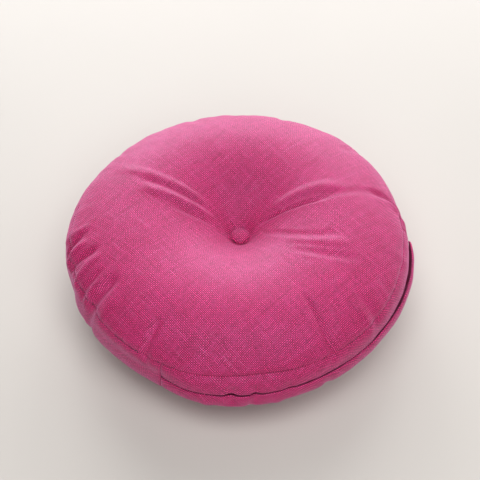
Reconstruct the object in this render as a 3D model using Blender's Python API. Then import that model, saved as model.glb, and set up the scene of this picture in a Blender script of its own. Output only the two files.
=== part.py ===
"""Round, crowned floor cushion with a buttoned centre.

A top and a base panel are joined by a side strip. Over part of the way round the
strip is made of two bands, an upper one with a folded edge and a lower one that
stands proud of it, with the zip opening between them. A covered button on each
side pulls the middle in. The cushion lies flat on its base.

Tables are in millimetres and degrees. The origin is in the middle of the outline,
on the surface that the cushion rests on, and azimuth 0 is +X.
"""
import math
from collections import namedtuple

import bmesh
import bpy
import numpy as np

MM = 0.001

# Driving sizes
CLOTH = 2.0              # side strip and bands, with their turned edges
BACKING_GAP = 0.4        # between the strip and the filled body
SEAM_GAP = 0.4           # between the edges of pieces that are sewn together
STEPS_ROUND = 144
STEP = 360.0 / STEPS_ROUND
NORMAL_SPAN = 1.5        # along the profile, to each side, where its slope is taken
MERGE_WITHIN = 0.01      # mm, before a shape is brought to metres
RING_CENTRE = (-3.2, 1.2)
BUTTON_CENTRE = (-0.7, 3.2)
PULL_REACH = 95.0        # how far the off-centre button draws the panels with it
PANEL_DRAW = 70.0        # how far inwards the uneven outline is felt in a panel
SEAM_BLEND = 0.38        # share of the side's height that follows each seam's outline

BUTTON_RADIUS = 10.5
BUTTON_CROWN = 5.8
BUTTON_EDGE = 1.4
BUTTON_SIDES = 24
BUTTON_RINGS = 5
BUTTON_SEAT = 0.9        # from the panel's middle to the flat back of the button

# The zip opening runs from the upright seam at the front left to the right side.
ZIP_START = -115.0
ZIP_END = 2.5
END_TRIM = 0.06          # degrees off each end of a strip, so that the ends stay apart
SLOT_DEPTH = 4.5
SLOT_HEIGHT = 58.0
SLOT_HALF_HEIGHT = 30.0
SLOT_END = 8.0           # degrees over which the hollow fades out
SLOT_PAST = 5.0          # degrees that the hollow goes on past each end of the opening
LIP_TOP = 0.4            # where the lip begins, as a share of the side's height

Profile = namedtuple("Profile", "radius height")

TOP_PROFILE = [Profile(*row) for row in (
    # radius, height
    (0.0, 82.0),
    (11.0, 82.4),
    (20.0, 90.0),
    (35.0, 100.0),
    (55.0, 110.6),
    (80.0, 119.2),
    (105.0, 122.8),
    (130.0, 121.5),
    (155.0, 114.5),
    (175.0, 103.5),
    (187.5, 91.0),
)]

SIDE_PROFILE = [Profile(*row) for row in (
    # radius, height
    (194.0, 82.0),
    (198.0, 70.0),
    (199.0, 58.0),
    (197.0, 46.0),
    (192.5, 37.0),
    (187.5, 31.0),
)]

BASE_PROFILE = [Profile(*row) for row in (
    # radius, height
    (178.0, 20.0),
    (165.0, 11.5),
    (145.0, 4.5),
    (122.0, 1.0),
    (100.0, 0.0),
    (45.0, 0.0),
    (28.0, 4.0),
    (12.0, 12.2),
    (0.0, 12.6),
)]

LIP_PROFILE = [Profile(*row) for row in (
    # radius, height
    (198.6, 67.6),
    (200.4, 62.0),
    (200.5, 54.5),
    (197.4, 46.0),
    (192.2, 38.0),
    (187.9, 31.4),
)]

Outline = namedtuple("Outline", "azimuth seam side low lip")

# How far the upper seam, the side, the lower seam and the proud lip stand out of a
# true circle.
OUTLINE = [Outline(*row) for row in (
    # azimuth, seam, side, low, lip
    (-178.0, 3.0, -1.5, -3.0, 0.0),
    (-162.0, 0.5, -7.0, -7.5, 0.0),
    (-146.0, -0.5, -6.0, -8.0, 0.0),
    (-130.0, 1.0, -7.5, -9.0, 0.0),
    (-116.0, 1.0, -7.0, -8.5, 0.0),
    (-105.0, 2.0, -1.0, -7.5, -1.5),
    (-92.0, -1.5, -1.0, -7.0, 0.0),
    (-80.0, -2.5, -2.0, -6.0, -0.5),
    (-65.0, 0.5, -3.5, -6.5, -0.5),
    (-42.0, 0.5, -4.5, -3.5, 0.6),
    (-20.0, 0.5, -3.0, -2.0, 3.4),
    (-5.0, 0.5, -3.2, -1.0, 5.8),
    (3.0, 0.5, -3.0, -1.0, 3.2),
    (18.0, 0.0, -3.0, -2.0, 0.0),
    (35.0, 3.0, 1.0, -3.0, 0.0),
    (52.0, 3.0, 1.0, -3.0, 0.0),
    (75.0, -0.5, 0.0, -3.0, 0.0),
    (105.0, -1.5, -1.0, -3.0, 0.0),
    (130.0, -1.5, -1.5, -3.0, 0.0),
    (160.0, 0.5, -0.5, -3.0, 0.0),
)]

Fold = namedtuple(
    "Fold", "azimuth_in reach_in azimuth_out reach_out bend height width_in width_out")

# Reach is the radius on the top panel, and goes on down the side past the seam.
FOLDS = [Fold(*row) for row in (
    # azimuth_in, reach_in, azimuth_out, reach_out, bend, height, width_in, width_out
    (139.0, 30.0, 150.5, 174.0, 2.2, 2.4, 7.0, 18.0),
    (144.5, 34.0, 155.0, 132.0, 0.0, -2.0, 6.0, 11.0),
    (153.0, 26.0, 158.0, 124.0, 1.0, 3.0, 7.0, 16.0),
    (168.0, 26.0, 165.0, 80.0, 0.0, -1.8, 6.0, 10.0),
    (34.0, 34.0, 20.5, 138.0, 0.5, 2.4, 8.0, 18.0),
    (25.0, 20.0, 15.5, 112.0, -2.0, -3.2, 6.0, 10.0),
    (17.0, 76.0, 14.5, 188.0, 1.2, -1.6, 10.0, 14.0),
    (17.0, 150.0, 7.0, 212.0, 1.5, -3.2, 10.0, 9.0),
    (15.5, 168.0, 3.0, 206.0, 0.0, 2.0, 8.0, 8.0),
    (-8.0, 22.0, -9.0, 126.0, -9.0, -1.8, 8.0, 14.0),
    (-24.0, 58.0, -16.0, 140.0, 0.0, 1.8, 10.0, 15.0),
    (-36.0, 68.0, -22.0, 152.0, 0.0, -2.0, 9.0, 13.0),
    (-56.5, 120.0, -58.5, 204.0, 0.0, -2.8, 11.0, 10.0),
    (-42.0, 156.0, -41.0, 202.0, 0.0, 1.4, 10.0, 10.0),
    (-37.5, 156.0, -38.0, 200.0, 0.0, -1.4, 9.0, 9.0),
    (-178.5, 158.0, -178.0, 204.0, 0.0, 2.0, 8.0, 9.0),
    (-176.5, 165.0, -170.5, 204.0, 0.0, -2.6, 7.0, 8.0),
    (-172.5, 165.0, -167.5, 204.0, 0.0, 2.4, 7.0, 8.0),
    (-166.5, 152.0, -165.5, 202.0, 0.0, -3.0, 8.0, 9.0),
    (-163.5, 150.0, -158.0, 204.0, 0.0, 2.6, 9.0, 9.0),
    (-156.0, 158.0, -153.5, 202.0, 0.0, -2.4, 8.0, 9.0),
    (-149.0, 154.0, -147.5, 204.0, 0.0, -3.2, 18.0, 16.0),
    (-144.0, 158.0, -142.0, 202.0, 0.0, 2.0, 11.0, 11.0),
    (-122.0, 150.0, -120.5, 204.0, 0.0, -2.4, 12.0, 11.0),
    (-157.0, 196.0, -157.0, 252.0, 0.0, 2.4, 20.0, 18.0),
    (-148.0, 190.0, -148.0, 250.0, 0.0, -3.0, 11.0, 10.0),
    (-92.0, 192.0, -92.0, 224.0, 0.0, -1.8, 9.0, 10.0),
    (-84.0, 192.0, -84.0, 224.0, 0.0, -1.6, 8.0, 9.0),
    (42.0, 160.0, 40.0, 206.0, 0.0, -1.8, 14.0, 11.0),
    (72.0, 164.0, 73.0, 210.0, 0.0, -1.6, 12.0, 12.0),
    (108.0, 160.0, 107.0, 208.0, 0.0, -1.8, 16.0, 12.0),
    (141.0, 166.0, 139.0, 206.0, 0.0, -1.6, 12.0, 10.0),
    (57.0, 200.0, 56.0, 250.0, 0.0, 1.8, 22.0, 22.0),
    (124.0, 200.0, 125.0, 250.0, 0.0, -1.8, 20.0, 20.0),
)]
FOLD_END = 0.28          # share of a fold's length over which each end fades out


def bell(x):
    """One in the middle, falling to nothing at -1 and 1."""
    return (1.0 - x * x) ** 2 if abs(x) < 1.0 else 0.0


def ease(x):
    """From nothing at 0 to one at 1, level at both ends."""
    x = min(max(x, 0.0), 1.0)
    return x * x * (3.0 - 2.0 * x)


def wrapped(azimuth):
    return (azimuth + 180.0) % 360.0 - 180.0


def smooth_line(rows, samples):
    """Points on a smooth line through every row of a table."""
    points = np.array(rows, dtype=float)
    first = 2.0 * points[0] - points[1]
    last = 2.0 * points[-1] - points[-2]
    points = np.vstack([first, points, last])
    t = np.linspace(0.0, 1.0, samples, endpoint=False)[:, None]
    line = []
    for a, b, c, d in zip(points, points[1:], points[2:], points[3:]):
        bend = 2.0 * a - 5.0 * b + 4.0 * c - d
        line.append(b + 0.5 * ((c - a) * t + bend * t ** 2 + (3.0 * (b - c) + d - a) * t ** 3))
    return np.vstack(line + [points[-2:-1]])


class Meridian:
    """A smooth profile, read by the distance along it."""

    def __init__(self, rows, samples=16):
        self.line = smooth_line(rows, samples)
        steps = np.hypot(*np.diff(self.line, axis=0).T)
        self.arc = np.concatenate([[0.0], np.cumsum(steps)])
        self.rows_at = self.arc[::samples]

    def point(self, arc):
        return np.array([np.interp(arc, self.arc, column) for column in self.line.T])

    def normal(self, arc):
        """The outward direction, as its radial and upright parts."""
        along = self.point(arc + NORMAL_SPAN) - self.point(arc - NORMAL_SPAN)
        return np.array([-along[1], along[0]]) / np.hypot(*along)


def round_table(rows):
    """A smooth closed curve through the rows, read by azimuth."""
    turn = [row._replace(azimuth=row.azimuth + shift) for shift in (-360, 0, 360) for row in rows]
    return smooth_line(turn, 16)


BODY = Meridian(TOP_PROFILE + SIDE_PROFILE + BASE_PROFILE)
LIP = Meridian(LIP_PROFILE)
UPPER_SEAM = BODY.rows_at[len(TOP_PROFILE) - 1]
LOWER_SEAM = BODY.rows_at[len(TOP_PROFILE + SIDE_PROFILE) - 1]
FOLDED_EDGE = BODY.rows_at[len(TOP_PROFILE) + 1]
SIDE_ROWS = np.linspace(UPPER_SEAM + SEAM_GAP, LOWER_SEAM - SEAM_GAP, 9)
RIM_RADIUS = TOP_PROFILE[-1].radius
OUTLINE_CURVE = round_table(OUTLINE)


def outline(azimuth, column):
    curve = OUTLINE_CURVE[:, Outline._fields.index(column)]
    return float(np.interp(azimuth, OUTLINE_CURVE[:, 0], curve))


def fold_height(azimuth, reach):
    """How far the folds lift the cloth at one place."""
    total = 0.0
    for fold in FOLDS:
        along = (reach - fold.reach_in) / (fold.reach_out - fold.reach_in)
        if not 0.0 < along < 1.0:
            continue
        middle = fold.azimuth_in + (fold.azimuth_out - fold.azimuth_in) * along
        middle += fold.bend * 4.0 * along * (1.0 - along)
        sideways = math.radians(wrapped(azimuth - middle)) * min(reach, RIM_RADIUS)
        width = fold.width_in + (fold.width_out - fold.width_in) * along
        fade = ease(along / FOLD_END) * ease((1.0 - along) / FOLD_END)
        total += fold.height * fade * bell(sideways / width)
    return total


def stand_out(azimuth, arc):
    """How far the uneven outline moves the cloth outwards at one place."""
    if arc <= UPPER_SEAM:
        return outline(azimuth, "seam") * ease(1.0 - (UPPER_SEAM - arc) / PANEL_DRAW)
    if arc >= LOWER_SEAM:
        return outline(azimuth, "low") * ease(1.0 - (arc - LOWER_SEAM) / PANEL_DRAW)
    down = (arc - UPPER_SEAM) / (LOWER_SEAM - UPPER_SEAM)
    middle = ease(down / SEAM_BLEND) * ease((1.0 - down) / SEAM_BLEND)
    edge = "seam" if down < 0.5 else "low"
    return outline(azimuth, edge) * (1.0 - middle) + outline(azimuth, "side") * middle


def place(azimuth, radius, height):
    """A point in metres, with the middle of the panels drawn to the button."""
    turn = math.radians(azimuth)
    pull = ease(1.0 - radius / PULL_REACH)
    x = RING_CENTRE[0] + radius * math.cos(turn) + (BUTTON_CENTRE[0] - RING_CENTRE[0]) * pull
    y = RING_CENTRE[1] + radius * math.sin(turn) + (BUTTON_CENTRE[1] - RING_CENTRE[1]) * pull
    return x * MM, y * MM, max(height, 0.0) * MM


def skin(azimuth, arc, inset):
    """A point of the covering, at a distance along the profile and under its face."""
    radius, height = BODY.point(arc)
    normal = BODY.normal(arc)
    reach = radius if arc < UPPER_SEAM else RIM_RADIUS + arc - UPPER_SEAM
    lift = fold_height(azimuth, reach) - inset
    radius += normal[0] * lift + stand_out(azimuth, arc)
    return place(azimuth, max(radius, 0.0), height + normal[1] * lift)


def slot_depth(azimuth, arc):
    """How far the filled body falls back behind the zip opening."""
    height = BODY.point(arc)[1]
    ends = ease((azimuth - ZIP_START + SLOT_PAST) / SLOT_END)
    ends *= ease((ZIP_END + SLOT_PAST - azimuth) / SLOT_END)
    return SLOT_DEPTH * ends * bell((height - SLOT_HEIGHT) / SLOT_HALF_HEIGHT)


def lip_point(azimuth, arc, inset):
    """A point of the lower zip band."""
    radius, height = LIP.point(arc)
    normal = LIP.normal(arc)
    down = arc / LIP.arc[-1]
    proud = outline(azimuth, "lip") * math.cos(0.5 * math.pi * down)
    behind = (LOWER_SEAM - UPPER_SEAM) * (LIP_TOP + (1.0 - LIP_TOP) * down)
    lift = fold_height(azimuth, RIM_RADIUS + behind) - inset
    radius += normal[0] * lift + proud + stand_out(azimuth, UPPER_SEAM + behind)
    return place(azimuth, radius, height + normal[1] * lift)


def cloth_material(name, hex_colour, roughness):
    """A woven cloth of one colour, as sRGB hex."""
    material = bpy.data.materials.new(name)
    material.use_nodes = True
    shader = material.node_tree.nodes["Principled BSDF"]
    shader.inputs["Roughness"].default_value = roughness
    shader.inputs["Metallic"].default_value = 0.0
    for channel in range(3):
        value = int(hex_colour[2 * channel:2 * channel + 2], 16) / 255.0
        linear = ((value + 0.055) / 1.055) ** 2.4 if value > 0.04045 else value / 12.92
        shader.inputs["Base Color"].default_value[channel] = linear
    material.diffuse_color = shader.inputs["Base Color"].default_value
    return material


def add_object(name, bm, material):
    bmesh.ops.recalc_face_normals(bm, faces=bm.faces)
    mesh = bpy.data.meshes.new(name)
    bm.to_mesh(mesh)
    bm.free()
    mesh.shade_smooth()
    mesh.set_sharp_from_angle(angle=math.radians(50.0))
    mesh.materials.append(material)
    piece = bpy.data.objects.new(name, mesh)
    bpy.context.scene.collection.objects.link(piece)
    return piece


def sweep(bm, start, end):
    """Turn the section about the upright axis, and note each vertex's azimuth."""
    whole = end - start >= 360.0
    bmesh.ops.spin(
        bm, geom=bm.verts[:] + bm.edges[:] + bm.faces[:], axis=(0, 0, 1), cent=(0, 0, 0),
        dvec=(0, 0, 0), angle=math.radians(end - start), steps=round((end - start) / STEP),
        use_merge=whole, use_duplicate=False)
    bmesh.ops.remove_doubles(bm, verts=bm.verts, dist=MERGE_WITHIN)
    azimuth_of = bm.verts.layers.float.new("azimuth")
    for vertex in bm.verts:
        azimuth = math.degrees(math.atan2(vertex.co.y, vertex.co.x))
        steps = round((azimuth - start) / STEP)
        vertex[azimuth_of] = wrapped(start + steps * STEP)
    return azimuth_of


def split_quads(bm, arc_of, azimuth_of):
    """Cut each face on the same diagonal, so that a piece follows the one behind it."""
    for face in [face for face in bm.faces if len(face.verts) == 4]:
        corner = min(face.verts, key=lambda v: (v[arc_of], v[azimuth_of]))
        across = (list(face.verts).index(corner) + 2) % 4
        bmesh.utils.face_split(face, corner, face.verts[across])


def add_body(material):
    """The filled cushion: both panels, with the side set back behind the strip."""
    top = list(BODY.rows_at[:len(TOP_PROFILE)])
    top += [0.5 * (a + b) for a, b in zip(top[3:], top[4:])]
    side = [UPPER_SEAM, *SIDE_ROWS[1:-1], LOWER_SEAM]
    base = BODY.rows_at[len(TOP_PROFILE + SIDE_PROFILE):]
    back = CLOTH + BACKING_GAP
    section = [(arc, 0.0) for arc in sorted(top)] + [(arc, back) for arc in side]
    section += [(LOWER_SEAM, 0.0)] + [(arc, 0.0) for arc in base]

    bm = bmesh.new()
    arc_of = bm.verts.layers.float.new("arc")
    inset_of = bm.verts.layers.float.new("inset")
    line = []
    for arc, inset in section:
        radius, height = BODY.point(arc)
        vertex = bm.verts.new((radius - inset, 0.0, height))
        vertex[arc_of] = arc
        vertex[inset_of] = inset
        line.append(vertex)
    for pair in zip(line, line[1:]):
        bm.edges.new(pair)
    azimuth_of = sweep(bm, 0.0, 360.0)
    for vertex in bm.verts:
        inset = vertex[inset_of]
        if inset:
            inset += slot_depth(vertex[azimuth_of], vertex[arc_of])
        vertex.co = skin(vertex[azimuth_of], vertex[arc_of], inset)
    split_quads(bm, arc_of, azimuth_of)
    return add_object("cushion", bm, material)


def add_band(name, start, end, arcs, surface, material):
    """A strip of doubled cloth on a surface, between two azimuths."""
    bm = bmesh.new()
    rows = len(arcs) - 1
    bmesh.ops.create_grid(bm, x_segments=rows, y_segments=1, size=0.5)
    arc_of = bm.verts.layers.float.new("arc")
    inset_of = bm.verts.layers.float.new("inset")
    turn = math.radians(start)
    for vertex in bm.verts:
        row = round((vertex.co.x + 0.5) * rows)
        vertex[arc_of] = arcs[row]
        vertex[inset_of] = CLOTH if vertex.co.y > 0.0 else 0.0
        radius = RIM_RADIUS - vertex[inset_of]
        vertex.co = (radius * math.cos(turn), radius * math.sin(turn), -arcs[row])
    azimuth_of = sweep(bm, start, end)
    trim = {wrapped(start): END_TRIM, wrapped(end): -END_TRIM}
    for vertex in bm.verts:
        azimuth = vertex[azimuth_of] + trim.get(vertex[azimuth_of], 0.0)
        vertex.co = surface(azimuth, vertex[arc_of], vertex[inset_of])
    split_quads(bm, arc_of, azimuth_of)
    return add_object(name, bm, material)


def add_button(name, seat_height, facing, material):
    """A cloth-covered button: a shallow dome on a short edge, with a flat back."""
    bm = bmesh.new()
    section = [(0.0, 0.0), (BUTTON_RADIUS - 0.5 * BUTTON_EDGE, 0.0)]
    section += [(BUTTON_RADIUS, 0.5 * BUTTON_EDGE)]
    for ring in range(BUTTON_RINGS + 1):
        lift = math.radians(90.0 * ring / BUTTON_RINGS)
        rise = BUTTON_EDGE + (BUTTON_CROWN - BUTTON_EDGE) * math.sin(lift)
        section.append((BUTTON_RADIUS * math.cos(lift), rise))
    line = [bm.verts.new((radius, 0.0, rise)) for radius, rise in section]
    edges = [bm.edges.new(pair) for pair in zip(line, line[1:])]
    bmesh.ops.spin(
        bm, geom=line + edges, axis=(0, 0, 1), cent=(0, 0, 0), dvec=(0, 0, 0),
        angle=2.0 * math.pi, steps=BUTTON_SIDES, use_merge=True, use_duplicate=False)
    bmesh.ops.remove_doubles(bm, verts=bm.verts, dist=MERGE_WITHIN)
    bmesh.ops.scale(bm, vec=(MM, MM, facing * MM), verts=bm.verts)
    seat = (BUTTON_CENTRE[0] * MM, BUTTON_CENTRE[1] * MM, seat_height * MM)
    bmesh.ops.translate(bm, vec=seat, verts=bm.verts)
    return add_object(name, bm, material)


def main():
    for old in list(bpy.data.objects):
        bpy.data.objects.remove(old, do_unlink=True)

    panel_cloth = cloth_material("panel_cloth", "c84c84", 0.85)
    strip_cloth = cloth_material("strip_cloth", "b5407a", 0.85)
    button_cloth = cloth_material("button_cloth", "c04a7e", 0.8)

    add_body(panel_cloth)
    upper = np.linspace(UPPER_SEAM + SEAM_GAP, FOLDED_EDGE, 5)
    lower = np.linspace(0.0, LIP.arc[-1], 8)
    add_band("gusset_plain", ZIP_END, ZIP_START + 360.0, SIDE_ROWS, skin, strip_cloth)
    add_band("zip_band_upper", ZIP_START, ZIP_END, upper, skin, strip_cloth)
    add_band("zip_band_lower", ZIP_START, ZIP_END, lower, lip_point, strip_cloth)
    add_button("button_top", TOP_PROFILE[0].height + BUTTON_SEAT, 1.0, button_cloth)
    add_button("button_bottom", BASE_PROFILE[-1].height - BUTTON_SEAT, -1.0, button_cloth)


main()
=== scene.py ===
"""A round, buttoned floor cushion in a coarse magenta linen.

The cloth, seams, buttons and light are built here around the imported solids. Tables
and sizes are in millimetres and degrees, with azimuth 0 at +X and -90 at the front.
"""
import math
from collections import namedtuple
from functools import partial

import bmesh
import bpy
import numpy as np
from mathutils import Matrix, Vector, noise
from mathutils.kdtree import KDTree


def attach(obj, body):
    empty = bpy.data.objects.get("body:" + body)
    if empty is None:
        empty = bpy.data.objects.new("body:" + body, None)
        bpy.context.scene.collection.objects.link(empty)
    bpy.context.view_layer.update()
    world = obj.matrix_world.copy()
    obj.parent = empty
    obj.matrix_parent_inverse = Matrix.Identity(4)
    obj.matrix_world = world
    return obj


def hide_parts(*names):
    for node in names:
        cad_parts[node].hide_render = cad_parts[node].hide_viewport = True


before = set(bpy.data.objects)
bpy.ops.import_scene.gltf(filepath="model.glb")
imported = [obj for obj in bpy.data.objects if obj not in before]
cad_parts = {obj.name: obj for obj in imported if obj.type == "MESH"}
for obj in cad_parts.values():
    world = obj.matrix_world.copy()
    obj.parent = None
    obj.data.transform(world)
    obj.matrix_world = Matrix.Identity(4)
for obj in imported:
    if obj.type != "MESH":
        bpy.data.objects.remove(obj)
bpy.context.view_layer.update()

MM = 0.001

# Sizes that follow the solids
RING_CENTRE = (-3.2, 1.2)
BUTTON_CENTRE = (-0.7, 3.2)
PULL_REACH = 95.0        # how far the off-centre button draws the panels with it
PANEL_DRAW = 70.0        # how far inwards the uneven outline is felt in a panel
SEAM_BLEND = 0.38        # share of the side's height that follows each seam's outline
ZIP_START = -115.0
ZIP_END = 2.5
SLOT_DEPTH = 4.5         # how far the filled body falls back behind the zip opening
SLOT_HEIGHT = 58.0       # of the middle of that hollow
SLOT_HALF_HEIGHT = 30.0
SLOT_END = 8.0           # degrees over which the hollow fades out
SLOT_PAST = 5.0          # degrees that it goes on past each end of the opening
LIP_TOP = 0.4            # where the lip begins, as a share of the side's height

# Sizes of the cloth
CLOTH = 1.6              # strip, with its turned edge behind it
FOLDED = 2.2             # a folded edge
BACKING = 2.2            # how far the filled body lies behind the strip's face
STRIP_CLEAR = 0.8        # from the upper seam to the strip's first row
FOOT_CLEAR = 0.5         # from the strip's last row to the lower seam
LIP_CLEAR = 0.3          # from the lip's last row to the lower seam
EDGE_ROLL = 0.8          # how far a folded edge bulges past its face
ROLL_DEPTHS = (0.35, 0.7)    # where it does, as shares of its thickness
END_TRIM = 0.05          # degrees off each end of a strip, so that the ends stay apart
END_WITHIN = 0.5         # how near to its end a row belongs to it
THREAD_PITCH = 1.8       # really about 1.1, but a finer weave would not show

# The mesh
STEPS_ROUND = 400
STEP = 360.0 / STEPS_ROUND
SEAM_STEPS = (0.0, 0.4, 0.9, 1.5, 2.2, 3.0, 4.0, 5.2, 6.8, 9.0, 12.0)
SPIN_RADIUS = 190.0      # of a strip's section while it is turned
MERGE_WITHIN = 0.001
TURN_SLACK = 0.001       # degrees, so that a strip's first rows aren't read as its last
CURVE_SAMPLES = 16       # between two rows of a table
NORMAL_SPAN = 2.5        # along the profile, to each side, where its slope is taken

# The filling's pressure on the top panel
COARSE_CELL = 5.0 * MM
PRESSURE = 40.0
PRESS_FRAMES = 20
PRESS_CAP = 3.0 * MM     # the furthest that a point may move
HELD_SEAM = 16.0         # how far from the seam the cover is still partly held
HELD_BUTTON = 10.0       # and from the button
COVER_MASS = 0.01
COVER_STIFFNESS = 0.3
COVER_QUALITY = 6
CARRIED_BY = 6           # coarse points that carry each point of the fine mesh
CARRY_SHARE = 0.1 * COARSE_CELL      # keeps the nearest of them from carrying it alone

Profile = namedtuple("Profile", "radius height")

TOP_PROFILE = [Profile(*row) for row in (
    # radius, height
    (0.0, 82.0),
    (11.0, 82.4),
    (20.0, 90.0),
    (35.0, 100.0),
    (55.0, 110.6),
    (80.0, 119.2),
    (105.0, 122.8),
    (130.0, 121.5),
    (155.0, 114.5),
    (175.0, 103.5),
    (187.5, 91.0),
)]

SIDE_PROFILE = [Profile(*row) for row in (
    # radius, height
    (194.0, 82.0),
    (198.0, 70.0),
    (199.0, 58.0),
    (197.0, 46.0),
    (192.5, 37.0),
    (187.5, 31.0),
)]

BASE_PROFILE = [Profile(*row) for row in (
    # radius, height
    (178.0, 20.0),
    (165.0, 11.5),
    (145.0, 4.5),
    (122.0, 1.0),
    (100.0, 0.0),
    (45.0, 0.0),
    (28.0, 4.0),
    (12.0, 12.2),
    (0.0, 12.6),
)]

LIP_PROFILE = [Profile(*row) for row in (
    # radius, height
    (198.6, 67.6),
    (200.4, 62.0),
    (200.5, 54.5),
    (197.4, 46.0),
    (192.2, 38.0),
    (187.9, 31.4),
)]

Outline = namedtuple("Outline", "azimuth seam side low lip")

# How far the upper seam, the side, the lower seam and the proud lip stand out of a
# true circle
OUTLINE = [Outline(*row) for row in (
    # azimuth, seam, side, low, lip
    (-178.0, 3.0, -1.5, -3.0, 0.0),
    (-162.0, 0.5, -7.0, -7.5, 0.0),
    (-146.0, -0.5, -6.0, -8.0, 0.0),
    (-130.0, 1.0, -7.5, -9.0, 0.0),
    (-116.0, 1.0, -7.0, -8.5, 0.0),
    (-105.0, 2.0, -1.0, -7.5, -1.5),
    (-92.0, -1.5, -1.0, -7.0, 0.0),
    (-80.0, -2.5, -2.0, -6.0, -0.5),
    (-65.0, 0.5, -3.5, -6.5, -0.5),
    (-42.0, 0.5, -4.5, -3.5, 0.6),
    (-20.0, 0.5, -3.0, -2.0, 2.8),
    (-5.0, 0.5, -3.2, -1.0, 5.4),
    (3.0, 0.5, -3.0, -1.0, 3.2),
    (18.0, 0.0, -3.0, -2.0, 0.0),
    (35.0, 3.0, 1.0, -3.0, 0.0),
    (52.0, 3.0, 1.0, -3.0, 0.0),
    (75.0, -0.5, 0.0, -3.0, 0.0),
    (105.0, -1.5, -1.0, -3.0, 0.0),
    (130.0, -1.5, -1.5, -3.0, 0.0),
    (160.0, 0.5, -0.5, -3.0, 0.0),
)]

Fold = namedtuple(
    "Fold", "azimuth_in reach_in azimuth_out reach_out bend height width_in width_out")

# Reach is the radius on the top panel, and goes on down the side past the seam
FOLDS = [Fold(*row) for row in (
    # azimuth_in, reach_in, azimuth_out, reach_out, bend, height, width_in, width_out
    (139.0, 34.0, 150.5, 168.0, 2.2, 1.8, 5.0, 11.0),
    (144.5, 34.0, 155.0, 132.0, 0.0, -1.2, 3.5, 6.0),
    (153.0, 26.0, 158.0, 124.0, 1.0, 3.0, 4.5, 11.0),
    (168.0, 28.0, 165.0, 80.0, 0.0, -1.3, 4.5, 6.0),
    (34.0, 34.0, 20.5, 136.0, 0.5, 2.2, 6.0, 13.0),
    (25.0, 18.0, 15.5, 112.0, -2.0, -3.2, 2.8, 4.5),
    (17.0, 76.0, 14.5, 188.0, 1.2, -1.0, 6.0, 11.0),
    (17.0, 150.0, 7.0, 214.0, 1.5, -3.0, 7.0, 7.0),
    (15.5, 170.0, 3.0, 202.0, 0.0, 1.8, 6.0, 7.0),
    (-8.0, 22.0, -9.0, 122.0, -9.0, -1.2, 5.5, 11.0),
    (-24.0, 56.0, -16.0, 136.0, 0.0, 1.2, 7.0, 11.0),
    (-36.0, 66.0, -22.0, 150.0, 0.0, -1.4, 6.0, 10.0),
    (-56.5, 118.0, -58.5, 206.0, 0.0, -3.8, 4.5, 5.0),
    (-42.0, 158.0, -41.0, 202.0, 0.0, 0.8, 6.0, 6.0),
    (-37.5, 158.0, -38.0, 200.0, 0.0, -0.9, 5.0, 6.0),
    (-178.5, 158.0, -178.0, 206.0, 0.0, 1.8, 6.0, 8.0),
    (-176.5, 166.0, -170.5, 208.0, 0.0, -3.6, 5.0, 6.5),
    (-172.5, 164.0, -167.5, 206.0, 0.0, 2.8, 5.0, 6.5),
    (-166.5, 152.0, -165.5, 206.0, 0.0, -4.0, 5.5, 7.0),
    (-163.5, 154.0, -158.0, 206.0, 0.0, 2.6, 5.5, 7.5),
    (-156.0, 158.0, -153.5, 204.0, 0.0, -3.2, 5.5, 7.5),
    (-149.0, 146.0, -147.5, 210.0, 0.0, -6.6, 10.0, 13.0),
    (-143.0, 158.0, -141.0, 202.0, 0.0, 1.0, 7.0, 9.0),
    (-122.0, 148.0, -120.5, 206.0, 0.0, -3.3, 7.0, 7.5),
    (-157.0, 196.0, -157.0, 252.0, 0.0, 2.4, 20.0, 18.0),
    (-148.0, 190.0, -148.0, 250.0, 0.0, -3.0, 11.0, 10.0),
    (-92.0, 196.0, -92.0, 228.0, 0.0, -3.4, 8.0, 9.0),
    (-84.5, 196.0, -84.5, 228.0, 0.0, -3.0, 6.0, 7.0),
    (-74.0, 198.0, -74.0, 228.0, 0.0, -1.6, 9.0, 9.0),
    (-86.0, 214.0, -86.0, 262.0, 0.0, -1.8, 6.0, 7.0),
    (-78.0, 214.0, -77.0, 262.0, 0.0, 1.4, 8.0, 8.0),
    (-61.0, 214.0, -60.0, 262.0, 0.0, -1.5, 8.0, 8.0),
    (-100.0, 214.0, -99.0, 262.0, 0.0, 1.3, 9.0, 9.0),
    (42.0, 160.0, 40.0, 206.0, 0.0, -1.6, 10.0, 9.0),
    (72.0, 164.0, 73.0, 210.0, 0.0, -1.4, 9.0, 10.0),
    (108.0, 160.0, 107.0, 208.0, 0.0, -1.6, 11.0, 10.0),
    (141.0, 166.0, 139.0, 206.0, 0.0, -1.5, 9.0, 9.0),
    (57.0, 200.0, 56.0, 250.0, 0.0, 1.8, 22.0, 22.0),
    (124.0, 200.0, 125.0, 250.0, 0.0, -1.8, 20.0, 20.0),
)]
FOLD_END = 0.28          # share of a fold's length over which each end fades out


def bell(x):
    """One in the middle, falling to nothing at -1 and 1."""
    return np.where(np.abs(x) < 1.0, (1.0 - x * x) ** 2, 0.0)


def ease(x):
    """From nothing at 0 to one at 1, level at both ends."""
    x = np.clip(x, 0.0, 1.0)
    return x * x * (3.0 - 2.0 * x)


def wrapped(azimuth):
    """The same azimuth between -180 and 180."""
    return (azimuth + 180.0) % 360.0 - 180.0


def smooth_line(rows):
    """Points on a smooth line through every row of a table."""
    points = np.array(rows, dtype=float)
    first = 2.0 * points[0] - points[1]
    last = 2.0 * points[-1] - points[-2]
    points = np.vstack([first, points, last])
    t = np.linspace(0.0, 1.0, CURVE_SAMPLES, endpoint=False)[:, None]
    line = []
    for a, b, c, d in zip(points, points[1:], points[2:], points[3:]):
        bend = 2.0 * a - 5.0 * b + 4.0 * c - d
        twist = 3.0 * (b - c) + d - a
        line.append(b + 0.5 * ((c - a) * t + bend * t ** 2 + twist * t ** 3))
    return np.vstack(line + [points[-2:-1]])


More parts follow.
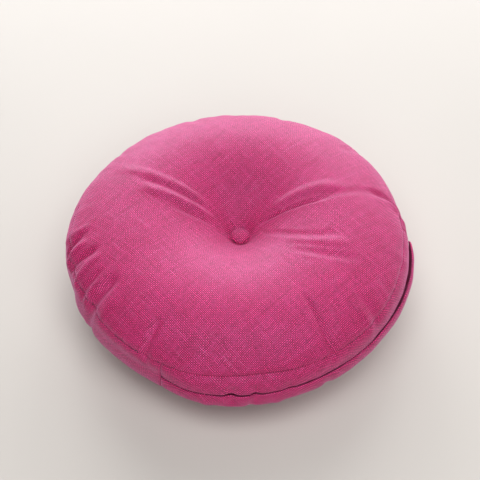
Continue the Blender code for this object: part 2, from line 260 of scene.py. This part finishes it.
class Meridian:
    """A smooth profile, read by the distance along it."""

    def __init__(self, rows):
        self.line = smooth_line(rows)
        steps = np.hypot(*np.diff(self.line, axis=0).T)
        self.arc = np.concatenate([[0.0], np.cumsum(steps)])
        self.rows_at = self.arc[::CURVE_SAMPLES]

    def point(self, arc):
        """The radius and the height."""
        return np.array([np.interp(arc, self.arc, column) for column in self.line.T])

    def normal(self, arc):
        """The outward direction, as its radial and upright parts."""
        along = self.point(arc + NORMAL_SPAN) - self.point(arc - NORMAL_SPAN)
        return np.array([-along[1], along[0]]) / np.hypot(*along)


def round_table(rows):
    """A smooth closed curve through the rows, read by azimuth."""
    turns = (-360.0, 0.0, 360.0)
    return smooth_line([
        row._replace(azimuth=row.azimuth + turn) for turn in turns for row in rows])


BODY = Meridian(TOP_PROFILE + SIDE_PROFILE + BASE_PROFILE)
LIP = Meridian(LIP_PROFILE)
UPPER_SEAM = BODY.rows_at[len(TOP_PROFILE) - 1]
LOWER_SEAM = BODY.rows_at[len(TOP_PROFILE + SIDE_PROFILE) - 1]
FOLDED_EDGE = BODY.rows_at[len(TOP_PROFILE) + 1]
RIM_RADIUS = TOP_PROFILE[-1].radius
MM_A_DEGREE = math.radians(1.0) * RIM_RADIUS     # along the rim
OUTLINE_CURVE = round_table(OUTLINE)

# Even rows of the mesh, by the distance along a profile, between the crowded ones
Run = namedtuple("Run", "start end count")
MIDDLE_RUN = Run(0.0, 60.0, 26)
PANEL_RUN = Run(62.5, UPPER_SEAM - 14.5, 54)
BACKING_RUN = Run(UPPER_SEAM, LOWER_SEAM, 16)
BASE_RUN = Run(LOWER_SEAM + 16.0, BODY.arc[-1], 34)
STRIP_RUN = Run(UPPER_SEAM + 14.5, LOWER_SEAM - 14.5, 16)
BAND_RUN = Run(UPPER_SEAM + 14.0, FOLDED_EDGE - EDGE_ROLL, 8)
LIP_RUN = Run(EDGE_ROLL, LIP.arc[-1] - 12.6, 12)


def outline(azimuth, column):
    """How far one line of the outline stands out of a true circle."""
    curve = OUTLINE_CURVE[:, Outline._fields.index(column)]
    return np.interp(azimuth, OUTLINE_CURVE[:, 0], curve)


def fold_height(azimuth, reach):
    """How far the folds lift the cloth at each place."""
    total = np.zeros(np.broadcast(azimuth, reach).shape)
    for fold in FOLDS:
        along = (reach - fold.reach_in) / (fold.reach_out - fold.reach_in)
        middle = fold.azimuth_in + (fold.azimuth_out - fold.azimuth_in) * along
        middle = middle + fold.bend * 4.0 * along * (1.0 - along)
        sideways = np.radians(wrapped(azimuth - middle)) * np.minimum(reach, RIM_RADIUS)
        width = fold.width_in + (fold.width_out - fold.width_in) * along
        fade = ease(along / FOLD_END) * ease((1.0 - along) / FOLD_END)
        total += fold.height * fade * bell(sideways / np.maximum(width, 1.0))
    return total


def stand_out(azimuth, arc):
    """How far the uneven outline moves the cloth outwards at each place."""
    down = np.clip((arc - UPPER_SEAM) / (LOWER_SEAM - UPPER_SEAM), 0.0, 1.0)
    middle = ease(down / SEAM_BLEND) * ease((1.0 - down) / SEAM_BLEND)
    edge = np.where(down < 0.5, outline(azimuth, "seam"), outline(azimuth, "low"))
    from_seam = np.maximum(np.maximum(UPPER_SEAM - arc, arc - LOWER_SEAM), 0.0)
    edge = edge * ease(1.0 - from_seam / PANEL_DRAW)
    return edge * (1.0 - middle) + outline(azimuth, "side") * middle


def place(azimuth, radius, height):
    """Points in metres, with the middle of the panels drawn to the button."""
    turn = np.radians(azimuth)
    pull = ease(1.0 - radius / PULL_REACH)
    x = RING_CENTRE[0] + radius * np.cos(turn) + (BUTTON_CENTRE[0] - RING_CENTRE[0]) * pull
    y = RING_CENTRE[1] + radius * np.sin(turn) + (BUTTON_CENTRE[1] - RING_CENTRE[1]) * pull
    return np.stack([x, y, np.maximum(height, 0.0)], axis=-1) * MM


# Small gathers along a sewn edge: waves round the cushion, height, twist per mm
Gather = namedtuple("Gather", "waves height twist phase")
GATHERS = [Gather(*row) for row in (
    # waves, height, twist, phase
    (23, 0.30, 0.010, 0.4),
    (34, 0.34, -0.014, 2.1),
    (47, 0.30, 0.020, 4.4),
    (61, 0.22, -0.024, 1.2),
    (83, 0.14, 0.030, 5.3),
)]
GATHER_REACH = 17.0      # how far from the seam a gather is still felt
GATHER_MEAN = 0.65       # how strong the gathers are on the whole, and how unevenly
GATHER_SWELL = 0.35
SWELL_WAVES = ((3, 1.0), (5, 2.0))   # waves round the cushion, phase

Dip = namedtuple("Dip", "depth reach")
PANEL_DIP = Dip(1.5, 2.8)
SIDE_DIP = Dip(1.4, 11.0)
END_DIP = Dip(1.0, 1.8)

Lump = namedtuple("Lump", "scale height seed")
BROAD_LUMPS = Lump(58.0, 1.1, 1)
FINE_LUMPS = Lump(21.0, 0.28, 2)
LIP_LUMPS = Lump(30.0, 0.9, 3)
SEED_SHIFT = (7.3, 3.1, 5.7)

FLAT_BELOW = 1.0         # the cloth lies smooth on the floor, up to this height
FLAT_FADE = 6.0          # and has its whole relief this much higher


def ripples(rows, turn, from_seam):
    """The sum of the waves of a table."""
    return sum(
        row.height * np.sin(row.waves * turn + row.phase + row.twist * from_seam) for row in rows)


def gathers(azimuth, from_seam):
    """The puckers that sewing leaves along a seam, stronger in some places."""
    turn = np.radians(azimuth)
    swell = np.prod([np.sin(waves * turn + phase) for waves, phase in SWELL_WAVES], axis=0)
    strength = GATHER_MEAN + GATHER_SWELL * swell
    return ripples(GATHERS, turn, from_seam) * strength * np.exp(-from_seam / GATHER_REACH)


def lumps(points, lump):
    """Soft unevenness of a filled cloth surface."""
    often = 1.0 / (lump.scale * MM)
    shift = Vector([lump.seed * part for part in SEED_SHIFT])
    values = [noise.noise(Vector(point) * often + shift) for point in points]
    return np.array(values) * lump.height


def sewn_dip(from_seam, dip):
    """The cloth rolls down into a seam."""
    return dip.depth * np.exp(-(from_seam / dip.reach) ** 2)


def skin(azimuth, arc, inset):
    """Points of the covering, at a distance along the profile and under its face."""
    radius, height = BODY.point(arc)
    normal = BODY.normal(arc)
    reach = np.where(arc < UPPER_SEAM, radius, RIM_RADIUS + arc - UPPER_SEAM)
    from_seam = np.minimum(np.abs(arc - UPPER_SEAM), np.abs(arc - LOWER_SEAM))
    flat = place(azimuth, radius, height)
    lift = fold_height(azimuth, reach) + gathers(azimuth, from_seam)
    lift += lumps(flat, BROAD_LUMPS) + lumps(flat, FINE_LUMPS)
    on_side = (arc > UPPER_SEAM) & (arc < LOWER_SEAM)
    lift -= np.where(on_side, sewn_dip(from_seam, SIDE_DIP), sewn_dip(from_seam, PANEL_DIP))
    off_floor = ease((height - FLAT_BELOW) / FLAT_FADE)
    lift = lift * np.where(arc > LOWER_SEAM, off_floor, 1.0) - inset
    radius = np.maximum(radius + normal[0] * lift + stand_out(azimuth, arc), 0.0)
    return place(azimuth, radius, height + normal[1] * lift)


def slot_depth(azimuth, arc):
    """How far the filled body falls back behind the zip opening."""
    height = BODY.point(arc)[1]
    ends = ease((azimuth - ZIP_START + SLOT_PAST) / SLOT_END)
    ends = ends * ease((ZIP_END + SLOT_PAST - azimuth) / SLOT_END)
    return SLOT_DEPTH * ends * bell((height - SLOT_HEIGHT) / SLOT_HALF_HEIGHT)


def lip_skin(azimuth, arc, inset):
    """Points of the lower zip band, which stands proud as a lip."""
    radius, height = LIP.point(arc)
    normal = LIP.normal(arc)
    down = arc / LIP.arc[-1]
    proud = outline(azimuth, "lip") * np.cos(0.5 * math.pi * down)
    behind = (LOWER_SEAM - UPPER_SEAM) * (LIP_TOP + (1.0 - LIP_TOP) * down)
    flat = place(azimuth, radius, height)
    lift = fold_height(azimuth, RIM_RADIUS + behind) + lumps(flat, LIP_LUMPS)
    lift += gathers(azimuth, LIP.arc[-1] - arc) - inset
    radius = radius + normal[0] * lift + proud + stand_out(azimuth, UPPER_SEAM + behind)
    return place(azimuth, radius, height + normal[1] * lift)


def linear(hex_colour):
    """An sRGB hex colour as linear values with full alpha."""
    values = [int(hex_colour[i:i + 2], 16) / 255.0 for i in (0, 2, 4)]
    return [((v + 0.055) / 1.055) ** 2.4 if v > 0.04045 else v / 12.92 for v in values] + [1.0]


def add_node(tree, kind, settings, *inputs, **named):
    """Adds a node. Inputs are values, or the nodes or outputs that are linked to them.

    They come in the order of the sockets, or by a socket's name or _number.
    """
    node = tree.nodes.new("ShaderNode" + kind)
    for key, value in settings.items():
        setattr(node, key, value)
    sockets = dict(enumerate(inputs))
    for key, value in named.items():
        sockets[int(key[1:]) if key[1:].isdigit() else key.replace("_", " ")] = value
    for key, value in sockets.items():
        if isinstance(value, bpy.types.Node):
            value = value.outputs[0]
        if isinstance(value, bpy.types.NodeSocket):
            tree.links.new(value, node.inputs[key])
        else:
            node.inputs[key].default_value = value
    return node


ADD = {"operation": "ADD"}
MULTIPLY = {"operation": "MULTIPLY"}
MULTIPLY_ADD = {"operation": "MULTIPLY_ADD"}
FLAT = {"noise_dimensions": "2D"}
VALUES = {"data_type": "FLOAT"}
COLOURS = {"data_type": "RGBA"}

# The weave. Where four numbers stand together, the range of the first two becomes
# that of the last two.
WANDER_SCALE = 0.12      # how often the threads wander, for each thread, and how far
WANDER = (1.5, 1.5, 0.0)
TONE_SPREAD = 3.77       # how far apart the tones of neighbouring threads are read
SLUB_RUN = 0.045         # how fast a slub passes along its thread, and a thick place
KNOT_RUN = 0.05
THREAD_ROUND = 0.8       # how round a thread is across
THREAD_SINK = (0.7, 0.3)     # how far it sinks at a crossing: what goes and what stays
THREAD_EDGE = 2.4        # how quickly the painted shade darkens the colour from a thread's top to the gap
WARP_FULL = 1.95         # the warp stands out more than the weft
WEFT_FULL = 1.1
KNOT_FULL = (0.25, 0.75, 0.85, 1.15)
FLECK_FULL = (0.0, 1.0, 0.74, 1.3)
YARN_TONE = (0.3, 0.7, 0.2, 0.85)
PALE_SLUB = (0.64, 0.82, 0.0, 0.24)
DARK_SLUB = (0.42, 0.24, 0.0, 0.3)
THREAD_ROUGHNESS = (0.0, 1.0, 0.8, 0.42)
RELIEF_STRENGTH = 0.4
RELIEF_DEPTH = 0.25 * THREAD_PITCH * MM

# The gap colour is painted shade between the threads; the dark slubs take the same colour
DyeAndShade = namedtuple("DyeAndShade", "dark_yarn light_yarn gap slub")


def linen(name, dye_and_shade, turn):
    """Coarse slubby linen in a plain weave: matt, with uneven threads, painted shade in the gaps
    between them, and a soft nap.
    """
    material = bpy.data.materials.new(name)
    material.use_nodes = True
    tree = material.node_tree
    shader = tree.nodes["Principled BSDF"]
    node = partial(add_node, tree)

    # The cloth's own map, counted in threads and turned to the grain
    threads = 1000.0 / THREAD_PITCH
    cloth = node("UVMap", {"uv_map": "cloth"})
    laid = node(
        "Mapping", {}, Vector=cloth, Rotation=(0.0, 0.0, math.radians(turn)),
        Scale=(threads, threads, threads))
    wander = node("TexNoise", FLAT, Vector=laid, Scale=WANDER_SCALE, Detail=1.0)
    wandered = node("VectorMath", MULTIPLY_ADD, wander.outputs["Color"], WANDER, laid)
    across_warp, across_weft = node("SeparateXYZ", {}, wandered).outputs[:2]

    # Each thread's tone along its length, and its height over and under the others
    rows = [node("Math", {"operation": "FLOOR"}, across) for across in (across_warp, across_weft)]
    crowns = []
    for across in (across_warp, across_weft):
        turned = node("Math", MULTIPLY, node("Math", {"operation": "FRACT"}, across), math.pi)
        crowns.append(node("Math", {"operation": "SINE"}, turned))
    directions = []
    for row, along, crown, crossed, seeds, fullness in (
            (rows[0], across_weft, crowns[0], crowns[1], (0.0, 93.0), WARP_FULL),
            (rows[1], across_warp, crowns[1], crowns[0], (531.0, 317.0), WEFT_FULL)):
        direction = [crown, crossed, fullness]
        for seed, run in zip(seeds, (SLUB_RUN, KNOT_RUN)):
            spot = node(
                "CombineXYZ", {}, node("Math", MULTIPLY_ADD, row, TONE_SPREAD, seed),
                node("Math", MULTIPLY, along, run))
            direction.append(
                node("TexNoise", FLAT, Vector=spot, Scale=1.0, Detail=1.0, Roughness=0.5))
        directions.append(direction)

    # At every second crossing the weft is on top
    weft_over = node("Math", {"operation": "PINGPONG"}, node("Math", ADD, *rows), 1.0)
    crown, crossed, fuller, slub, knot = [
        node("Mix", VALUES, weft_over, _2=warp, _3=weft) for warp, weft in zip(*directions)]
    height = node(
        "Math", MULTIPLY, node("Math", {"operation": "POWER"}, crown, THREAD_ROUND),
        node("Math", MULTIPLY_ADD, crossed, *THREAD_SINK))

    fleck = node("TexWhiteNoise", FLAT, Vector=node("CombineXYZ", {}, *rows))
    uneven = node(
        "Math", MULTIPLY, node("MapRange", {}, knot, *KNOT_FULL),
        node("MapRange", {}, fleck, *FLECK_FULL))
    # How much of the yarn's colour shows rather than the painted shade of the gap; this also sets
    # the roughness
    raised = node("Math", {"operation": "POWER"}, height, THREAD_EDGE)
    for share in (uneven, fuller):
        raised = node("Math", MULTIPLY, raised, share)

    # Colour: painted shade in the gaps, the yarn on top of it, and here and there a pale or a
    # dark slub
    yarn = node(
        "Mix", COLOURS, node("MapRange", {}, knot, *YARN_TONE),
        _6=linear(dye_and_shade.dark_yarn), _7=linear(dye_and_shade.light_yarn))
    colour = node("Mix", COLOURS, raised, _6=linear(dye_and_shade.gap), _7=yarn.outputs[2])
    for slub_range, slub_colour in ((PALE_SLUB, dye_and_shade.slub), (DARK_SLUB, dye_and_shade.gap)):
        share = node("Math", MULTIPLY, node("MapRange", {}, slub, *slub_range), height)
        colour = node("Mix", COLOURS, share, _6=colour.outputs[2], _7=linear(slub_colour))
    tree.links.new(colour.outputs[2], shader.inputs["Base Color"])

    relief = node(
        "Bump", {}, Strength=RELIEF_STRENGTH, Distance=RELIEF_DEPTH, Height=height)
    tree.links.new(relief.outputs[0], shader.inputs["Normal"])
    roughness = node("MapRange", {}, raised, *THREAD_ROUGHNESS)
    tree.links.new(roughness.outputs[0], shader.inputs["Roughness"])
    for socket, value in (
            ("Specular IOR Level", 0.56),
            ("Specular Tint", linear("90ccff")),
            ("IOR", 1.6),
            ("Sheen Weight", 0.42),
            ("Sheen Roughness", 0.5),
            ("Sheen Tint", linear("ffa8dc"))):
        shader.inputs[socket].default_value = value
    return material


FLOOR_REACH = 4.0        # metres
FLOOR_SHADE = 0.97       # of the floor's darkest places
FLOOR_GRAIN = 6.0


def painted_floor(name, colour, roughness):
    """Matt painted board: one pale colour with a slight unevenness."""
    material = bpy.data.materials.new(name)
    material.use_nodes = True
    tree = material.node_tree
    shader = tree.nodes["Principled BSDF"]
    where = add_node(tree, "TexCoord", {})
    grain = add_node(tree, "TexNoise", {}, Vector=where.outputs["Object"], Scale=FLOOR_GRAIN)
    darker = [FLOOR_SHADE * value for value in linear(colour)[:3]] + [1.0]
    shade = add_node(tree, "Mix", COLOURS, grain, _6=linear(colour), _7=darker)
    tree.links.new(shade.outputs[2], shader.inputs["Base Color"])
    shader.inputs["Roughness"].default_value = roughness
    return material


def add_piece(name, bm, material, node):
    """Finishes a mesh: faces outwards, smooth, riding on the body, and hides the part of the
    solids that it stands for.
    """
    bmesh.ops.recalc_face_normals(bm, faces=bm.faces)
    mesh = bpy.data.meshes.new(name)
    bm.to_mesh(mesh)
    bm.free()
    mesh.shade_smooth()
    mesh.materials.append(material)
    piece = bpy.data.objects.new(name, mesh)
    bpy.context.scene.collection.objects.link(piece)
    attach(piece, "root")
    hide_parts(node)
    return piece


def turn_line(bm, line, closed, degrees, steps):
    """Joins vertices in a line, or a closed one, and turns it about the upright axis."""
    for pair in zip(line, line[1:] + line[:1] if closed else line[1:]):
        bm.edges.new(pair)
    bmesh.ops.spin(
        bm, geom=bm.verts[:] + bm.edges[:], axis=(0, 0, 1), cent=(0, 0, 0), dvec=(0, 0, 0),
        angle=math.radians(degrees), steps=steps, use_merge=degrees >= 360.0,
        use_duplicate=False)
    bmesh.ops.remove_doubles(bm, verts=bm.verts, dist=MERGE_WITHIN)


def sweep(section, start, end, closed):
    """Turns a section of (arc, inset) about the upright axis, from start to end."""
    bm = bmesh.new()
    arc_of = bm.verts.layers.float.new("arc")
    inset_of = bm.verts.layers.float.new("inset")
    line = []
    turn = math.radians(start)
    for arc, inset in section:
        radius, upright = (SPIN_RADIUS - inset, -arc) if closed else BODY.point(arc)
        vertex = bm.verts.new((radius * math.cos(turn), radius * math.sin(turn), upright))
        vertex[arc_of] = arc
        vertex[inset_of] = inset
        line.append(vertex)
    turn_line(bm, line, closed, end - start, round((end - start) / STEP))
    if closed:
        bmesh.ops.holes_fill(bm, edges=[edge for edge in bm.edges if edge.is_boundary])
    bm.verts.ensure_lookup_table()
    azimuth = np.degrees([math.atan2(v.co.y, v.co.x) for v in bm.verts])
    arc = np.array([v[arc_of] for v in bm.verts])
    inset = np.array([v[inset_of] for v in bm.verts])
    azimuth = start + (azimuth - start + TURN_SLACK) % 360.0 - TURN_SLACK
    return bm, azimuth, arc, inset


def settle(bm, points, cloth_u, cloth_v):
    """Moves the vertices to their places, and lays the cloth's own map on the faces."""
    for vertex, point in zip(bm.verts, points):
        vertex.co = point
    bm.verts.index_update()
    layer = bm.loops.layers.uv.new("cloth")
    for face in bm.faces:
        for loop in face.loops:
            index = loop.vert.index
            loop[layer].uv = (cloth_u[index], cloth_v[index])


def near(seam, side):
    """Rows that crowd towards a seam, on one side of it."""
    return sorted(seam + side * step for step in SEAM_STEPS)


def even(run):
    """Even rows."""
    return list(np.linspace(*run))


def body_section():
    """The filled body: both panels, with the side set back behind the strip."""
    top = even(MIDDLE_RUN) + even(PANEL_RUN) + near(UPPER_SEAM, -1.0)
    base = near(LOWER_SEAM, 1.0) + even(BASE_RUN)
    section = [(arc, 0.0) for arc in top] + [(UPPER_SEAM, 0.5 * BACKING)]
    section += [(arc, BACKING) for arc in even(BACKING_RUN)]
    return section + [(LOWER_SEAM, 0.5 * BACKING)] + [(arc, 0.0) for arc in base]


def add_body(material):
    """The filled body, with the cover pressed out by what is in it."""
    bm, azimuth, arc, inset = sweep(body_section(), -180.0, 180.0, False)
    hidden = inset > 0.75 * BACKING
    inset = inset + np.where(hidden, slot_depth(azimuth, arc), 0.0)
    points = skin(azimuth, arc, inset)
    on_top = arc < 0.5 * (UPPER_SEAM + LOWER_SEAM)
    from_middle = np.where(on_top, arc, BODY.arc[-1] - arc) * MM
    turn = np.radians(azimuth)
    settle(bm, points, from_middle * np.cos(turn), from_middle * np.sin(turn))
    piece = add_piece("cushion_body", bm, material, "cushion")
    press_cover(piece, arc)


def places(mesh):
    """Where the vertices of a mesh are."""
    return np.array([vertex.co for vertex in mesh.vertices])


def point_tree(points):
    """The points, sorted so that the nearest ones are found quickly."""
    tree = KDTree(len(points))
    for index, point in enumerate(points):
        tree.insert(point, index)
    tree.balance()
    return tree


def press_cover(piece, arc):
    """Presses the top panel out between its seam and the button. The crown stays as high."""
    free = ease((UPPER_SEAM - arc) / HELD_SEAM)
    free = free * ease((BODY.point(arc)[0] - TOP_PROFILE[1].radius) / HELD_BUTTON)
    moved = pressed_out(piece, free)
    for row in np.unique(arc[free > 0.0]):
        moved[arc == row, 2] -= moved[arc == row, 2].mean()
    piece.data.vertices.foreach_set("co", (places(piece.data) + moved).ravel())
    piece.data.update()


def coarse_copy(piece):
    """A copy of a piece in an even, coarser mesh."""
    copy = piece.copy()
    bpy.context.scene.collection.objects.link(copy)
    remesh = copy.modifiers.new("even", "REMESH")
    remesh.mode = "VOXEL"
    remesh.voxel_size = COARSE_CELL
    depsgraph = bpy.context.evaluated_depsgraph_get()
    copy.data = bpy.data.meshes.new_from_object(copy.evaluated_get(depsgraph))
    copy.modifiers.clear()
    return copy


def pressed_out(piece, free):
    """How far each vertex moves when the filling presses the cover out.

    Blender's cloth runs on a coarse copy, which is held wherever free is 0. Each vertex
    of the piece then moves as the nearest points of the copy do.
    """
    scene = bpy.context.scene
    fine = places(piece.data)
    copy = coarse_copy(piece)
    start = places(copy.data)
    held = copy.vertex_groups.new(name="held")
    nearest = point_tree(fine)
    for index, point in enumerate(start):
        held.add([index], 1.0 - free[nearest.find(point)[1]], "REPLACE")

    cloth = copy.modifiers.new("cover", "CLOTH").settings
    cloth.vertex_group_mass = "held"
    cloth.mass = COVER_MASS
    cloth.quality = COVER_QUALITY
    cloth.bending_stiffness = COVER_STIFFNESS
    cloth.use_pressure = True
    cloth.uniform_pressure_force = PRESSURE
    cloth.effector_weights.gravity = 0.0
    for frame_number in range(1, PRESS_FRAMES + 1):
        scene.frame_set(frame_number)
    depsgraph = bpy.context.evaluated_depsgraph_get()
    shift = places(copy.evaluated_get(depsgraph).data) - start
    coarse_data = copy.data
    bpy.data.objects.remove(copy)
    bpy.data.meshes.remove(coarse_data)
    scene.frame_set(1)

    nearest = point_tree(start)
    moved = np.zeros_like(fine)
    for index in np.flatnonzero(free):
        found = nearest.find_n(fine[index], CARRIED_BY)
        weight = np.array([1.0 / (distance + CARRY_SHARE) for _, _, distance in found])
        moved[index] = weight @ shift[[point for _, point, _ in found]] / weight.sum()
    size = np.linalg.norm(moved, axis=1)
    cap = np.minimum(1.0, PRESS_CAP / np.maximum(size, 1e-9))
    return moved * (cap * free)[:, None]


def strip_section(arcs, thickness, top_roll, bottom_roll):
    """A closed section: the face, and the back, with a rolled edge at each end."""
    face = [(arc, 0.0) for arc in arcs]
    back = [(arc, thickness) for arc in arcs[::-2]]
    top = [(arcs[0] - top_roll, share * thickness) for share in ROLL_DEPTHS]
    bottom = [(arcs[-1] + bottom_roll, share * thickness) for share in ROLL_DEPTHS]
    return face + bottom + back + top[::-1]


def add_strip(name, start, end, section, surface, node, material):
    """A strip of cloth along the side, from one azimuth to another."""
    bm, azimuth, arc, inset = sweep(section, start, end, True)
    from_end = np.minimum(azimuth - start, end - azimuth) * MM_A_DEGREE
    inwards = np.where(azimuth < 0.5 * (start + end), END_TRIM, -END_TRIM)
    trimmed = azimuth + np.where(from_end < END_WITHIN, inwards, 0.0)
    points = surface(trimmed, arc, inset + sewn_dip(from_end, END_DIP))
    settle(bm, points, azimuth * MM_A_DEGREE * MM, arc * MM)
    return add_piece(name, bm, material, node)


BUTTON_BACK = [Profile(*row) for row in ((0.0, 0.0), (8.4, 0.0), (9.8, 0.3), (10.5, 1.0))]
BUTTON_RADIUS = 10.6
BUTTON_CROWN = 5.8
BUTTON_EDGE = 1.4        # height at which the button is widest
BUTTON_SQUARE = 0.9      # under 1, the crown is fuller than a dome
BUTTON_RINGS = 14
BUTTON_SIDES = 96
BUTTON_SEAT = 0.9        # from the panel's middle to the flat back of the button
BUTTON_GATHERS = [Gather(*row) for row in (
    # waves, height, twist, phase
    (17, 0.16, 0.0, 0.6),
    (26, 0.12, 0.0, 2.0),
)]
GATHERED_FROM = 7.0      # the radius where the button's gathers begin
GATHERED_OVER = 4.0
BUTTON_SWAY = 0.25       # how far the edge of its cloth is off level
BUTTON_SWAY_PHASE = 0.7
BUTTON_SWAY_FROM = 0.2   # the height where the cloth leaves the flat back


def add_button(name, seat, facing, node, material):
    """A button covered with cloth that is gathered in under its edge."""
    bm = bmesh.new()
    section = list(BUTTON_BACK)
    for ring in range(1, BUTTON_RINGS + 1):
        lift = math.radians(90.0 * ring / BUTTON_RINGS)
        section.append(Profile(
            BUTTON_RADIUS * math.cos(lift) ** BUTTON_SQUARE,
            BUTTON_EDGE + (BUTTON_CROWN - BUTTON_EDGE) * math.sin(lift)))
    section.append(Profile(0.0, BUTTON_CROWN))
    line = [bm.verts.new((row.radius, 0.0, row.height)) for row in section]
    turn_line(bm, line, False, 360.0, BUTTON_SIDES)
    x, y, height = np.array([v.co for v in bm.verts]).T
    turn = np.arctan2(y, x)
    radius = np.hypot(x, y)
    edge = ease((radius - GATHERED_FROM) / GATHERED_OVER)
    grown = 1.0 + edge * ripples(BUTTON_GATHERS, turn, 0.0) / np.maximum(radius, 1.0)
    sway = BUTTON_SWAY * np.sin(turn + BUTTON_SWAY_PHASE) * edge
    off_back = height > BUTTON_SWAY_FROM
    points = np.stack([
        BUTTON_CENTRE[0] + x * grown, BUTTON_CENTRE[1] + y * grown,
        seat + facing * (height + sway * off_back)], axis=-1) * MM
    settle(bm, points, x * MM, y * MM)
    add_piece(name, bm, material, node)


# Linen, dyed in the piece. The thread tops catch a little light, the gaps between them are
# painted with dark shade, and the nap gives a soft pale bloom where the cloth turns away.
PANEL_DYE_AND_SHADE = DyeAndShade("ee146a", "ff3c92", "4e0012", "ff90c8")
STRIP_DYE_AND_SHADE = DyeAndShade("ea146a", "fe3c90", "4e0012", "fe8cc6")
panel_linen = linen("panel_linen", PANEL_DYE_AND_SHADE, 47.0)
strip_linen = linen("strip_linen", STRIP_DYE_AND_SHADE, 44.0)
button_linen = linen("button_linen", PANEL_DYE_AND_SHADE, 40.0)

add_body(panel_linen)

strip_top = near(UPPER_SEAM + STRIP_CLEAR, 1.0)
strip_rows = strip_top + even(STRIP_RUN) + near(LOWER_SEAM - FOOT_CLEAR, -1.0)
gusset = add_strip(
    "side_strip", ZIP_END, ZIP_START + 360.0, strip_section(strip_rows, CLOTH, 0.0, 0.0),
    skin, "gusset_plain", strip_linen)
upper = add_strip(
    "zip_band_top", ZIP_START, ZIP_END,
    strip_section(strip_top + even(BAND_RUN), FOLDED, 0.0, EDGE_ROLL),
    skin, "zip_band_upper", strip_linen)
lip_rows = even(LIP_RUN) + near(LIP.arc[-1] - LIP_CLEAR, -1.0)
lower = add_strip(
    "zip_band_lip", ZIP_START, ZIP_END, strip_section(lip_rows, FOLDED, EDGE_ROLL, 0.0),
    lip_skin, "zip_band_lower", strip_linen)

add_button(
    "covered_button", TOP_PROFILE[0].height + BUTTON_SEAT, 1.0, "button_top", button_linen)
add_button(
    "base_button", BASE_PROFILE[-1].height - BUTTON_SEAT, -1.0, "button_bottom", button_linen)

# Floor, light and camera
bm = bmesh.new()
bmesh.ops.create_grid(bm, x_segments=1, y_segments=1, size=FLOOR_REACH)
floor_mesh = bpy.data.meshes.new("floor")
bm.to_mesh(floor_mesh)
bm.free()
floor_mesh.materials.append(painted_floor("pale_floor", "c2beb8", 0.55))
floor = bpy.data.objects.new("floor", floor_mesh)
bpy.context.scene.collection.objects.link(floor)

LAMP_REACH = 3.2         # metres from what the lamps face
LAMP_WIDTH = 1.85
LAMP_COLOUR = "fffeff"
LAMPS_FACE = Vector((0.0, 0.0, 0.08))
Lamp = namedtuple("Lamp", "azimuth elevation power")
LAMPS = [Lamp(*row) for row in (
    # azimuth, elevation, power in W
    (108.0, 18.0, 74.0),
    (72.0, 18.0, 56.0),
    (36.0, 18.0, 21.0),
    (225.0, 70.0, 32.0),
    (315.0, 70.0, 34.0),
    (315.0, 45.0, 19.0),
    (268.0, 34.0, 27.0),
    (90.0, 42.0, 23.0),
)]


def add_light(name, lamp):
    """A large soft lamp that faces the cushion."""
    across, up = math.radians(lamp.azimuth), math.radians(lamp.elevation)
    level = math.cos(up)
    facing = Vector((level * math.cos(across), level * math.sin(across), math.sin(up)))
    data = bpy.data.lights.new(name, "AREA")
    data.shape = "DISK"
    data.size = LAMP_WIDTH
    data.energy = lamp.power
    data.color = linear(LAMP_COLOUR)[:3]
    light = bpy.data.objects.new(name, data)
    light.location = LAMPS_FACE + facing * LAMP_REACH
    light.rotation_euler = facing.to_track_quat("Z", "Y").to_euler()
    bpy.context.scene.collection.objects.link(light)


for number, lamp in enumerate(LAMPS):
    add_light(f"soft_light_{number}", lamp)

world = bpy.data.worlds.new("studio")
world.use_nodes = True
background = world.node_tree.nodes["Background"]
background.inputs["Color"].default_value = linear("fffdfa")
background.inputs["Strength"].default_value = 0.08
bpy.context.scene.world = world

CAMERA_AT = (-0.7 * MM, -763.8 * MM, 1067.0 * MM)
CAMERA_DOWN = 52.23      # degrees below level
CAMERA_LENS = 82.3       # on a sensor 36 mm wide
camera_data = bpy.data.cameras.new("camera")
camera_data.sensor_width = 36.0
camera_data.lens = CAMERA_LENS
camera = bpy.data.objects.new("camera", camera_data)
camera.location = CAMERA_AT
camera.rotation_euler = (math.radians(90.0 - CAMERA_DOWN), 0.0, 0.0)
bpy.context.scene.collection.objects.link(camera)
bpy.context.scene.camera = camera
bpy.context.scene.view_settings.view_transform = "Standard"
